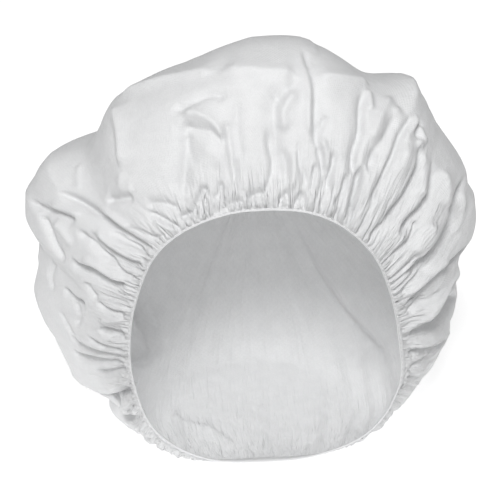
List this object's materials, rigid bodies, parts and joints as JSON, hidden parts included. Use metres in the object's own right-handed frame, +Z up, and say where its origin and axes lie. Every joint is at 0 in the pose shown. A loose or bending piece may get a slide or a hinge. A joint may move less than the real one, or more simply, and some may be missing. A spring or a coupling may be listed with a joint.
{
  "type": "bouffant cap",
  "caption": "Disposable nonwoven bouffant cap, puffed round bag gathered into an elastic hem, lying on its nape side with the opening to the front.",
  "frame": {"origin": "middle of the underside of the cap's box, on the surface that it lies on", "axes": "+Z up; the opening faces -Y, the bag lies behind it towards +Y; +X is to the right seen from the front"},
  "size_m": [0.2972, 0.188, 0.2746],
  "materials": {
    "nonwoven": "matte white spunbond with a fine pressed texture",
    "hem": "matte white doubled nonwoven over elastic"
  },
  "bodies": {
    "root": {"crown": "nonwoven", "hem_band": "hem"}
  },
  "joints": []
}
